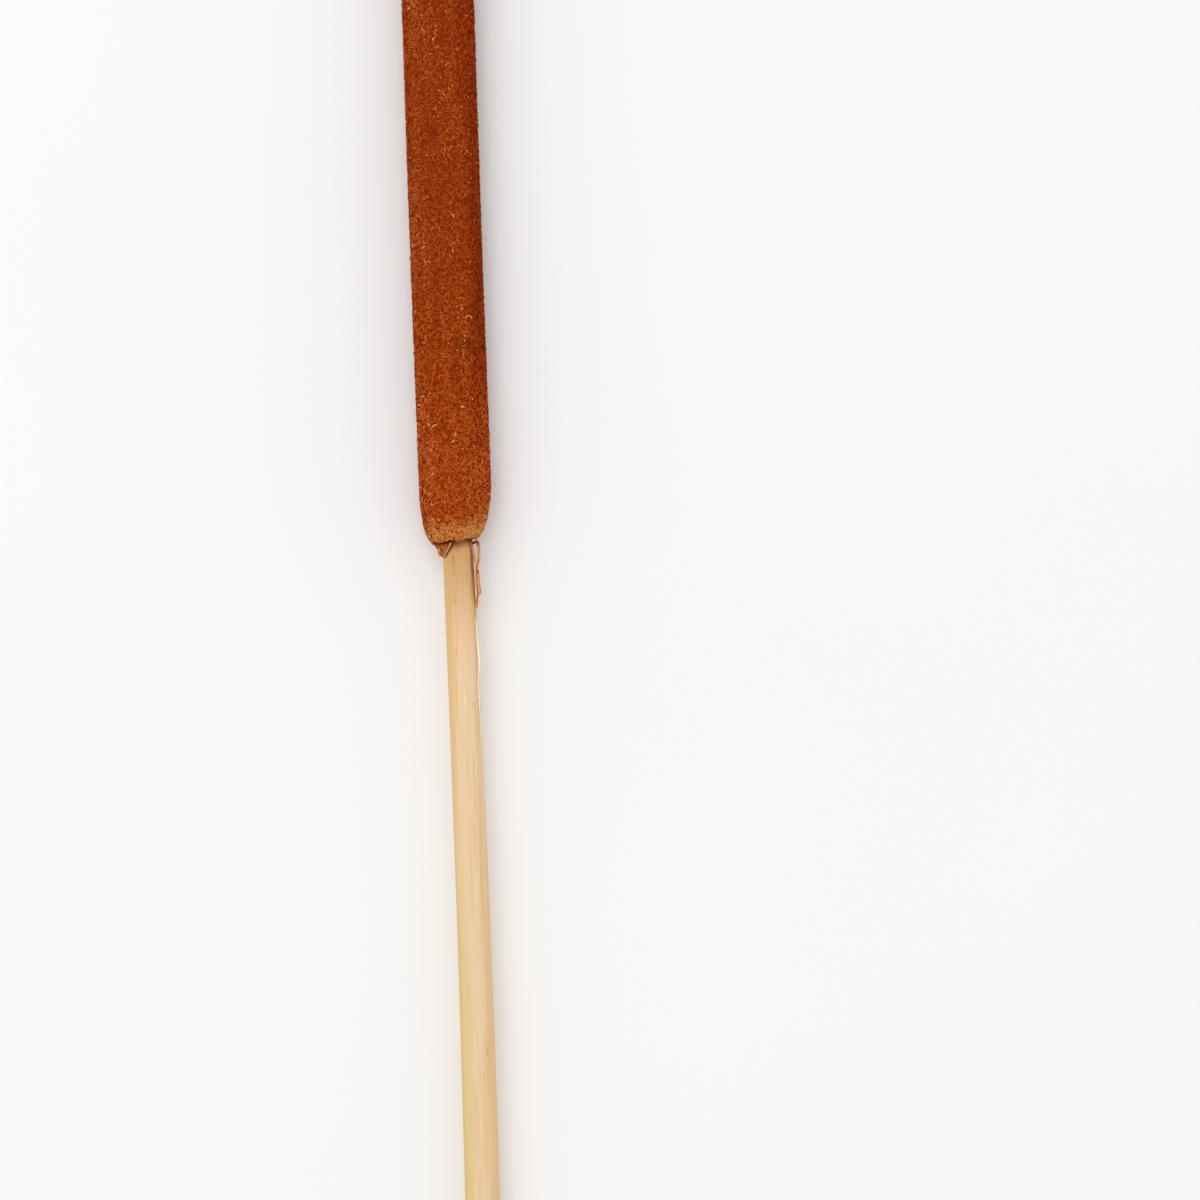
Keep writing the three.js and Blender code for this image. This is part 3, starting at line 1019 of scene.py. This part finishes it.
class CattailFeltFibres(bpy.types.Operator):
    """Covers the seed head with short curly fibres, in layers and in bands along the head"""

    bl_idname = "cattail.felt_fibres"
    bl_label = "Felt Fibres"

    COARSE_REACH = 70 * MM
    FLECK_SHARE = 0.011
    TRAIL_SHARE = 0.4

    def execute(self, context):
        profile = HeadProfile()
        rng = np.random.default_rng(felt().seed + 1)
        material = felt_material()
        for layer in felt_layers(profile):
            root, angle = profile.spread(rng, layer.density, layer.reach)
            bands = np.array_split(np.arange(len(root)), layer.pieces)
            for number, chosen in enumerate(bands):
                name = f"{layer.name}_{number + 1}"
                piece = self.band(profile, rng, layer, root[chosen], angle[chosen], name)
                dress(piece, material, "seed_head", "seed_head")
        return {"FINISHED"}

    def band(self, profile, rng, layer, root, angle, name):
        count = len(root)
        above = root - profile.rim
        coarse = 1 - smooth01(0.35 * self.COARSE_REACH, self.COARSE_REACH, above)
        long = layer.length * (1 + 0.35 * coarse) * rng.uniform(0.6, 1.4, count)
        wide = layer.width * (1 + 0.2 * coarse) * rng.uniform(0.75, 1.2, count)
        level = rng.uniform(0, 1, count)
        share = np.linspace(0, 1, layer.steps)
        turn = layer.turn * rng.uniform(0.2, 1, count) * rng.choice([-1, 1], count)
        heading = rng.uniform(0, 2 * math.pi, count)[:, None] + turn[:, None] * (share - 0.5)
        forward, sideways = self.curl(heading, long / (layer.steps - 1))
        radius = np.maximum(profile.mean_radius(root), 2 * MM)
        arc = np.clip(root[:, None] + forward, 0.2 * MM, profile.length - 0.2 * MM)
        point, along, across, outward = profile.frame(arc, angle[:, None] + sideways / radius[:, None])
        arch = np.sin(math.pi * mix(0.15, 0.75, share))
        rise = mix(layer.low, layer.high, level)[:, None] * arch + rng.uniform(-0.06, 0.06, arc.shape)
        path = point + outward * (felt().depth * (np.maximum(rise, 0) - 1))[..., None]
        roll = rng.normal(0, 0.5, count)[:, None, None]
        flat = across * np.cos(heading)[..., None] - along * np.sin(heading)[..., None]
        taper = mix(0.5, 1, np.sin(math.pi * mix(0.1, 0.95, share)))
        points, faces = ribbons(path, flat * np.cos(roll) + outward * np.sin(roll), wide[:, None] * taper)
        points[:, 2] = np.maximum(points[:, 2], 0.02 * MM)
        piece = mesh_piece(name, points, [faces], ribbon_corners(count, layer.steps))
        drift = tone_drift(root, angle, above)
        tone = self.tones(rng, layer, clumps(root, angle), coarse, level, drift, near_trail(path[:, 0]))
        # Painted shade on the fibres at the head's rim and on its lip, where the felt turns under
        edge = mix(0.35, 1, smooth01(-0.6 * MM, 0.9 * MM, above))
        store(piece, "tone", np.repeat(tone * edge, layer.steps * 2))
        sandy = sandiness(above, angle) ** rng.uniform(0.3, 2.5, count)
        store(piece, "sandy", np.repeat(sandy, layer.steps * 2))
        return piece

    def curl(self, heading, step):
        """Places along and across the head of paths that follow their headings, about their middles."""
        middle = (heading[:, 1:] + heading[:, :-1]) / 2
        places = []
        for share in (np.cos(middle), np.sin(middle)):
            walked = np.cumsum(share * step[:, None], axis=1)
            place = np.concatenate([np.zeros((len(heading), 1)), walked], axis=1)
            places.append(place - place.mean(axis=1, keepdims=True))
        return places

    def tones(self, rng, layer, clump, coarse, level, drift, on_trail):
        """Each fibre's tone: lighter where it stands high, which paints the shade deep in the felt, in
        clumps, low on the head and along the trails.
        """
        count = len(level)
        share = 0.6 * rng.beta(2.5, 2.5, count) + 0.2 * level + 0.1 * clump + 0.1 * coarse**4
        tone = mix(layer.dark, layer.light, share) + drift
        if layer.high > 0.9:
            drawn = rng.uniform(0, 1, count)
            light = rng.uniform(0, 1, count)
            tone = np.where(drawn < self.TRAIL_SHARE * on_trail, mix(0.78, 0.9, light), tone)
            tone = np.where(drawn > 1 - self.FLECK_SHARE * (0.7 + clump**2), mix(0.8, 1, light), tone)
        return np.clip(tone, 0, 1)


class CattailSpike(bpy.types.Operator):
    """Makes the bare spike above the head"""

    bl_idname = "cattail.spike"
    bl_label = "Top Spike"

    SIDES = 28
    RINGS = 201
    TAPER = 1.4
    KNOT_HEIGHT = 0.1 * MM
    SCAR_DEPTH = 0.035 * MM
    BEND = (1.4 * MM, 0, 1.1 * MM)
    TIP_LENGTH = 0.2 * MM

    def execute(self, context):
        rng = np.random.default_rng(felt().seed + 2)
        y, angle = ring_grid(np.linspace(SPIKE_LOW.y, TIP_Y, self.RINGS), self.SIDES)
        along = clamp01((y - CROWN_Y) / (TIP_Y - CROWN_Y))
        knots = np.sin(y / (1.9 * MM)) * np.sin(3 * angle + y / (5 * MM)) * (1 - along)
        radius = mix(sizes().spike_foot, sizes().spike_tip, along**self.TAPER) + self.KNOT_HEIGHT * knots
        radius = radius + rng.normal(0, self.SCAR_DEPTH, radius.shape)
        points = around_axis(y, radius, angle) + (along**2)[..., None] * self.BEND
        foot = points[0].mean(axis=0)
        tip = points[-1].mean(axis=0) + [0, self.TIP_LENGTH, 0]
        around = np.arange(self.SIDES)
        foot_faces = fan_faces(y.size, around)
        tip_faces = fan_faces(y.size + 1, (y.size - self.SIDES + around)[::-1])
        faces = [tube_faces(self.RINGS, self.SIDES), foot_faces, tip_faces]
        piece = mesh_piece("spike_bare", np.concatenate([points.reshape(-1, 3), [foot, tip]]), faces)
        dress(piece, spike_material(), "top_spike", "top_spike")
        return {"FINISHED"}


def strip_grid(route, steps, columns, curl):
    """A grid of points over a strip that follows a route, and how near its edges each point is.

    The route's rows hold a pixel's x and y, a width in pixels, a height over the stem's centre line in
    millimetres, and a twist in radians. curl is how far the edges are bent up, as a share of the width.
    """
    pixel_x, pixel_y, width, height, twist = through(route, steps).T
    x, y = from_photo(pixel_x, pixel_y)
    middle = np.stack([x, y, axis_z(y) + height * MM], axis=-1)
    forward = unit(np.gradient(middle, axis=0))
    flat = unit(np.cross(forward, [0, 0, 1]))
    up = np.cross(flat, forward)
    side = flat * np.cos(twist)[:, None] + up * np.sin(twist)[:, None]
    lift = np.cross(side, forward)
    across = np.linspace(-1, 1, columns)
    half = (width * PHOTO_SPAN / PHOTO_PIXELS / 2)[:, None]
    grid = middle[:, None] + side[:, None] * (half * across)[..., None]
    grid = grid + lift[:, None] * (half * curl * across**2)[..., None]
    edge = np.broadcast_to(np.abs(across), grid.shape[:2])
    return grid, edge


class CattailSliver(bpy.types.Operator):
    """Makes the thin pale sliver that stands off the stem's right edge"""

    bl_idname = "cattail.sliver"
    bl_label = "Peeled Sliver"

    THICKNESS = 0.07 * MM
    ROUTE = (
        (476.0, 618, 0.6, 1.1, -0.5),
        (476.9, 635, 1.6, 1.3, -0.3),
        (478.2, 650, 2.2, 1.4, -0.2),
        (479.2, 664, 2.2, 1.4, -0.1),
        (478.4, 676, 1.8, 1.4, -0.2),
        (478.1, 686, 2.2, 1.4, -0.1),
        (479.2, 700, 1.6, 1.3, -0.3),
        (480.2, 722, 1.3, 1.2, -0.4),
        (481.2, 745, 1.0, 1.1, -0.5),
        (482.4, 768, 0.5, 1.0, -0.6),
    )

    def execute(self, context):
        grid, _ = strip_grid(self.ROUTE, 8, 4, -0.2)
        points, faces = sheet_parts(grid, self.THICKNESS)
        piece = mesh_piece("peeled_sliver", points, [faces])
        dress(piece, sliver_material(), "stem")
        return {"FINISHED"}


class CattailFlap(bpy.types.Operator):
    """Makes the folded, crinkled flap of bract under the rim on the stem's left side"""

    bl_idname = "cattail.flap"
    bl_label = "Bract Flap"

    COLUMNS = 31
    ROWS = 41
    THICKNESS = 0.14 * MM
    CLEARANCE = 0.55 * MM
    EDGE_HEIGHT = 0.9 * MM
    BULGE = 0.45 * MM
    RIM_PLACE = 0.14
    RIM_WIDTH = 0.04
    RIM_RISE = 0.24 * MM
    CRINKLE_RISE = 0.07 * MM
    RIGHT_EDGE = (
        (455.2, 533.5), (455.5, 540), (453.8, 544),
        (450.6, 549), (447.4, 553.5), (444.8, 557.6),
    )
    LEFT_EDGE = (
        (434, 533.5), (430.8, 537.5), (433.6, 543.5),
        (437.2, 549.5), (438.2, 554.8), (443.4, 557.9),
    )

    def execute(self, context):
        rows = np.linspace(0, 1, self.ROWS)
        down, across = np.meshgrid(rows, np.linspace(0, 1, self.COLUMNS), indexing="ij")
        grid = self.form(across, down)
        outward = unit(np.cross(np.gradient(grid, axis=1), np.gradient(grid, axis=0)))
        rim = np.exp(-(((across - self.RIM_PLACE) / self.RIM_WIDTH) ** 2)) * smooth01(0.3, 0.4, down)
        tip = smooth01(0.8, 0.97, down)
        # The crease along the right edge is sunk a little; it and the top under the head's rim get painted
        # shade
        fold = smooth01(0.1, 0.05, across) * smooth01(0.25, 0.35, down)
        painted_rim_shade = smooth01(0.52, 0.38, down)
        crinkle = np.sin(19 * across + 5 * np.sin(7 * down)) * np.sin(23 * down + 3 * across)
        crinkle = crinkle + 0.6 * np.sin(41 * across - 17 * down)
        lift = self.RIM_RISE * (rim - 0.8 * fold) + self.CRINKLE_RISE * crinkle * (1 - rim)
        points, faces = sheet_parts(grid + outward * lift[..., None], self.THICKNESS)
        piece = mesh_piece("flap_paper", points, [faces])
        crumpled = smooth01(0.72, 0.9, across) * smooth01(0.55, 0.68, down) * clamp01(0.35 + crinkle)
        store(piece, "rim", np.tile(clamp01(0.6 * rim + 0.15 * tip + crumpled).ravel(), 2))
        store(piece, "fold", np.tile(clamp01(fold + painted_rim_shade).ravel(), 2))
        dress(piece, flap_material(), "bract_flap", "bract_flap")
        return {"FINISHED"}

    def form(self, across, down):
        """The flap's middle surface: across runs from its right edge to its left, down from root to tip."""
        right = self.edge(self.RIGHT_EDGE)
        left = self.edge(self.LEFT_EDGE)
        x, y = mix(right[:, None], left[:, None], across[..., None]).transpose(2, 0, 1)
        clear_radius = sizes().neck_radius + self.CLEARANCE
        over_stem = np.sqrt(np.maximum(clear_radius**2 - (right[:, 0] - axis_x(right[:, 1])) ** 2, 0))
        arch = self.BULGE * np.sin(math.pi * across) * (1 - down)
        z = axis_z(y) + mix(over_stem[:, None], self.EDGE_HEIGHT, across) + arch
        return np.stack([x, y, z], axis=-1)

    def edge(self, pixels):
        """An edge of the flap as one point for each row."""
        places = np.array([from_photo(*pixel) for pixel in pixels])
        smooth = through(places, self.ROWS)
        return smooth[np.linspace(0, len(smooth) - 1, self.ROWS).round().astype(int)]


class CattailShred(bpy.types.Operator):
    """Makes the kinked shred peeled off along the stem's right side, with its second root and its barb"""

    bl_idname = "cattail.shred"
    bl_label = "Bract Shred"

    THICKNESS = 0.12 * MM
    MAIN = (
        (472.6, 543.4, 1.6, 0.9, 0.0),
        (474.6, 542.6, 2.0, 1.3, 0.1),
        (476.6, 541.6, 2.6, 1.4, 0.2),
        (477.9, 543.2, 2.8, 1.3, 0.2),
        (478.3, 546, 2.8, 1.2, -0.2),
        (478.9, 550.5, 2.6, 1.0, -0.3),
        (478.5, 554.5, 2.8, 0.95, 0.1),
        (478.5, 559, 3.5, 0.9, 0.3),
        (478.0, 562.5, 4.2, 0.85, 0.3),
        (476.8, 566.5, 3.5, 0.8, 0.3),
        (476.7, 571, 3.3, 0.7, 0.2),
        (476.9, 575, 3.1, 0.65, -0.2),
        (476.8, 579, 2.8, 0.6, 0.2),
        (477.0, 584, 2.7, 0.5, 0.3),
        (477.5, 588.5, 2.6, 0.4, 0.2),
        (477.9, 593, 2.8, 0.3, 0.1),
        (477.5, 598, 2.6, 0.1, -0.3),
        (477.0, 603, 2.2, -0.2, 0.2),
        (477.2, 608, 1.2, -0.5, 0.3),
    )
    ROOT = (
        (469.3, 539, 2.4, 3.1, -0.3),
        (471.0, 543.5, 2.6, 2.8, -0.3),
        (472.4, 547, 2.0, 2.3, -0.4),
        (473.2, 550, 1.5, 1.9, -0.4),
        (474.0, 554.5, 1.4, 1.5, -0.3),
        (474.9, 558.5, 1.4, 1.1, -0.2),
        (476.0, 563, 1.5, 0.85, 0.0),
    )
    BARB = (
        (477.8, 570, 1.6, 0.8, 0.0),
        (478.6, 576, 2.0, 0.75, 0.2),
        (479.2, 581.5, 2.1, 0.75, -0.2),
        (479.8, 586.5, 2.1, 0.7, 0.2),
        (480.5, 590.5, 2.1, 0.7, 0.3),
        (480.4, 593, 1.9, 0.65, 0.2),
        (479.2, 594.6, 1.0, 0.55, 0.1),
    )

    def execute(self, context):
        points = []
        faces = []
        rims = []
        for route, folded_from in ((self.MAIN, 0.35), (self.ROOT, 1), (self.BARB, 0)):
            grid, edge = strip_grid(route, 6, 7, 0.45)
            along = np.linspace(0, 1, len(grid))[:, None]
            strip_points, strip_faces = sheet_parts(grid, self.THICKNESS)
            faces.append(strip_faces + sum(len(done) for done in points))
            points.append(strip_points)
            folded = smooth01(folded_from - 0.1, folded_from + 0.1, along)
            pale = mix(1 - edge**2, smooth01(0.15, 0.8, edge), folded) * smooth01(0.02, 0.2, along)
            rims.append(np.tile(pale.ravel(), 2))
        piece = mesh_piece("shred_paper", np.concatenate(points), faces)
        store(piece, "rim", np.concatenate(rims))
        # Painted shade on the strips just below the head's rim
        shaded = [smooth01(2.2 * MM, 0.6 * MM, BASE_Y - strip[:, 1]) for strip in points]
        store(piece, "shaded", np.concatenate(shaded))
        dress(piece, shred_material(), "bract_shred", "bract_shred")
        return {"FINISHED"}


class CattailBoldHairs(bpy.types.Operator):
    """Adds the few loose hairs and pale dots that stand out on the seed head in the photograph"""

    bl_idname = "cattail.bold_hairs"
    bl_label = "Bold Hairs"

    WIDTH = 0.24 * MM
    RISE = 0.15 * MM
    BOW = 0.15
    STEPS = 6
    HAIRS = (
        ((491.0, 480.0), (495.2, 486.5)),
        ((432.0, 427.8), (436.9, 424.8)),
        ((427.4, 423.4), (429.8, 426.0)),
        ((420.9, 397.6), (424.7, 396.2)),
        ((418.0, 404.6), (420.4, 406.0)),
        ((460.1, 406.9), (464.5, 407.4)),
        ((480.4, 228.8), (481.4, 231.0)),
        ((482.0, 234.8), (486.6, 240.6)),
        ((451.6, 214.0), (453.9, 217.8)),
        ((451.9, 249.4), (453.2, 252.0)),
        ((461.4, 310.4), (463.0, 307.8)),
        ((465.6, 318.0), (468.2, 315.6)),
        ((468.4, 315.4), (471.9, 318.6)),
        ((464.4, 341.4), (465.4, 339.8)),
        ((456.0, 432.6), (454.6, 435.6)),
        ((407.4, 10.0), (410.2, 8.0)),
        ((432.6, 40.8), (434.4, 37.6)),
    )
    DOTS = (
        (412.9, 3.9), (435.6, 29.8), (429.4, 53.6), (440.1, 77.6), (451.4, 84.9), (438.3, 89.7),
        (467.7, 96.8), (433.2, 116.2), (460.8, 106.5), (476.2, 121.7), (409.8, 157.4), (476.2, 162.0),
        (415.9, 220.2), (428.6, 261.4), (456.1, 306.4), (457.3, 317.2), (442.4, 322.9), (451.5, 334.2),
        (464.2, 335.6), (442.6, 356.3), (429.4, 393.2), (472.1, 398.6), (433.0, 441.4), (490.4, 436.2),
        (470.0, 522.0), (474.7, 519.8), (480.0, 525.0), (481.2, 514.7), (471.7, 529.7), (475.3, 530.7),
        (472.8, 528.3), (434.3, 527.2), (451.5, 518.7), (453.0, 521.3), (443.7, 532.5), (469.0, 534.3),
    )
    DOT_LENGTH = 0.9

    def execute(self, context):
        dots = [((x, y), (x + self.DOT_LENGTH, y + self.DOT_LENGTH)) for x, y in self.DOTS]
        ends = self.HAIRS + tuple(dots)
        paths = np.array([self.path(on_top(start, head_top), on_top(end, head_top)) for start, end in ends])
        side = unit(np.cross(np.gradient(paths, axis=1), [0, 0, 1]))
        taper = np.sin(math.pi * np.linspace(0.15, 0.85, self.STEPS))
        points, faces = ribbons(paths, side, np.tile(self.WIDTH * taper, (len(paths), 1)))
        piece = mesh_piece("bold_hairs", points, [faces], ribbon_corners(len(paths), self.STEPS))
        store(piece, "tone", np.ones(len(points)))
        store(piece, "sandy", np.zeros(len(points)))
        dress(piece, felt_material(), "seed_head", "seed_head")
        return {"FINISHED"}

    def path(self, start, end):
        """A bowed hair from one place to another, arched a little off the head."""
        share = np.linspace(0, 1, self.STEPS)
        arch = np.sin(math.pi * share)
        x = mix(start[0], end[0], share) + self.BOW * (start[1] - end[1]) * arch
        y = mix(start[1], end[1], share) + self.BOW * (end[0] - start[0]) * arch
        return np.stack([x, y, head_top(x, y) + self.RISE * arch], axis=-1)


class CattailStage(bpy.types.Operator):
    """Makes the floor, the soft light and the camera"""

    bl_idname = "cattail.stage"
    bl_label = "Stage"

    FLOOR_SIDE = 12.0
    SKY_STRENGTH = 0.8
    LIGHT_PLACE = (-0.3, 0.5, 1.5)
    LIGHT_SIDE = 1.2
    LIGHT_POWER = 7.6
    SENSOR = 36.0

    def execute(self, context):
        self.floor()
        self.sky(context)
        self.light(context)
        self.camera(context)
        context.scene.view_settings.view_transform = "Standard"
        return {"FINISHED"}

    def floor(self):
        half = self.FLOOR_SIDE / 2
        corners = np.array([[-half, -half, 0], [half, -half, 0], [half, half, 0], [-half, half, 0]])
        floor = mesh_piece("floor", corners, [np.array([[0, 1, 2, 3]])])
        floor.data.materials.append(floor_material())

    def sky(self, context):
        world = bpy.data.worlds.new("soft_studio")
        world.use_nodes = True
        background = world.node_tree.nodes["Background"]
        background.inputs["Color"].default_value = (1.0, 1.0, 1.0, 1.0)
        background.inputs["Strength"].default_value = self.SKY_STRENGTH
        context.scene.world = world

    def light(self, context):
        light = bpy.data.lights.new("key_light", "AREA")
        light.shape = "SQUARE"
        light.size = self.LIGHT_SIDE
        light.energy = self.LIGHT_POWER
        lamp = bpy.data.objects.new("key_light", light)
        lamp.location = self.LIGHT_PLACE
        aim = Vector((0, BASE_Y, 0)) - lamp.location
        lamp.rotation_euler = aim.to_track_quat("-Z", "Y").to_euler()
        context.scene.collection.objects.link(lamp)

    def camera(self, context):
        x, y = from_photo(PHOTO_PIXELS / 2, PHOTO_PIXELS / 2)
        camera = bpy.data.cameras.new("camera")
        camera.sensor_width = self.SENSOR
        camera.lens = self.SENSOR * CAMERA_HEIGHT / PHOTO_SPAN
        holder = bpy.data.objects.new("camera", camera)
        holder.location = (x, y, HEAD_AXIS_HEIGHT + CAMERA_HEIGHT)
        holder.rotation_euler = (0, 0, -PHOTO_LEAN)
        context.scene.collection.objects.link(holder)
        context.scene.camera = holder


PIECE_OPERATORS = (
    CattailStem,
    CattailHeadSkin,
    CattailFeltFibres,
    CattailBoldHairs,
    CattailSpike,
    CattailFlap,
    CattailShred,
    CattailSliver,
    CattailStage,
)


class CattailPanel(bpy.types.Panel):
    """Lists what makes the cattail stalk"""

    bl_idname = "VIEW3D_PT_cattail"
    bl_label = "Cattail Stalk"
    bl_space_type = "VIEW_3D"
    bl_region_type = "UI"
    bl_category = "Cattail"

    def draw(self, context):
        for operator in PIECE_OPERATORS:
            self.layout.operator(operator.bl_idname)
        for group, _ in SETTINGS:
            settings = getattr(context.scene, group)
            box = self.layout.box()
            for name in settings.__annotations__:
                box.prop(settings, name)


SETTINGS = (
    ("cattail_sizes", CattailSizes),
    ("cattail_felt", CattailFelt),
    ("cattail_colours", CattailColours),
)


def register():
    for name, group in SETTINGS:
        bpy.utils.register_class(group)
        setattr(bpy.types.Scene, name, bpy.props.PointerProperty(type=group))
    for made in PIECE_OPERATORS + (CattailPanel,):
        bpy.utils.register_class(made)


def unregister():
    for made in reversed(PIECE_OPERATORS + (CattailPanel,)):
        bpy.utils.unregister_class(made)
    for name, group in reversed(SETTINGS):
        delattr(bpy.types.Scene, name)
        bpy.utils.unregister_class(group)


def main():
    register()
    bpy.ops.cattail.stem()
    bpy.ops.cattail.head_skin()
    bpy.ops.cattail.felt_fibres()
    bpy.ops.cattail.bold_hairs()
    bpy.ops.cattail.spike()
    bpy.ops.cattail.flap()
    bpy.ops.cattail.shred()
    bpy.ops.cattail.sliver()
    bpy.ops.cattail.stage()


if __name__ == "__main__":
    main()
